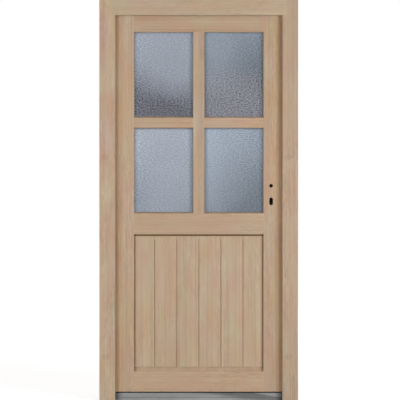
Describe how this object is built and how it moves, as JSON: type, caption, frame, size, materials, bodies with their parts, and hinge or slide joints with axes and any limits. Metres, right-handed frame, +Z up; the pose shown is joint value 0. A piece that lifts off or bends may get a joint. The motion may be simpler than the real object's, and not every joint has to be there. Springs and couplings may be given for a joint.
{
  "type": "side door",
  "caption": "Timber side-entrance door in its rebated frame, with panes of obscure glass over a grooved panel and an aluminium threshold.",
  "frame": {"origin": "middle of the threshold's underside, at the middle of the frame's depth", "axes": "+X towards the lock jamb, +Y from outside to inside, +Z up"},
  "size_m": [0.98, 0.0885, 1.98],
  "materials": {
    "softwood": "sanded, raw",
    "panel_wood": "sanded, raw",
    "obscure_glass": "fine-grained, obscure",
    "clear_glass": "clear",
    "spacer_metal": "matte grey",
    "sealant": "matte, brown",
    "seal_rubber": "matte",
    "threshold_aluminium": "natural anodised",
    "core_plastic": "matte",
    "lock_steel": "zinc plated",
    "case_steel": "black lacquer",
    "hinge_steel": "zinc plated"
  },
  "bodies": {
    "frame": {"hinge_jamb": "softwood", "lock_jamb": "softwood", "frame_head": "softwood", "threshold_rail": "threshold_aluminium", "threshold_core": "core_plastic", "threshold_tread": "threshold_aluminium", "threshold_seal": "seal_rubber", "frame_seals": "seal_rubber", "strike_plate": "lock_steel", "lower_hinge_frame_half": "hinge_steel", "middle_hinge_frame_half": "hinge_steel", "upper_hinge_frame_half": "hinge_steel"},
    "leaf": {"hinge_stile": "softwood", "lock_stile": "softwood", "top_rail": "softwood", "middle_rail": "softwood", "bottom_rail": "softwood", "upright_bar": "softwood", "left_cross_bar": "softwood", "right_cross_bar": "softwood", "grooved_panel": "panel_wood", "panel_beads": "softwood", "glass_spacers": "spacer_metal", "glazing_seals": "sealant", "lock_case": "case_steel", "lock_faceplate": "lock_steel", "lock_bolts": "lock_steel", "outer_glass_upper_left": "obscure_glass", "inner_glass_upper_left": "clear_glass", "beads_upper_left": "softwood", "outer_glass_upper_right": "obscure_glass", "inner_glass_upper_right": "clear_glass", "beads_upper_right": "softwood", "outer_glass_lower_left": "obscure_glass", "inner_glass_lower_left": "clear_glass", "beads_lower_left": "softwood", "outer_glass_lower_right": "obscure_glass", "inner_glass_lower_right": "clear_glass", "beads_lower_right": "softwood", "lower_hinge_leaf_half": "hinge_steel", "middle_hinge_leaf_half": "hinge_steel", "upper_hinge_leaf_half": "hinge_steel"}
  },
  "joints": [
    {"name": "leaf_swing", "type": "hinge", "parent": "frame", "child": "leaf", "pos_m": [-0.4595, 0.0465, 0], "axis": [0, 0, 1], "range_deg": [0, 110]}
  ]
}
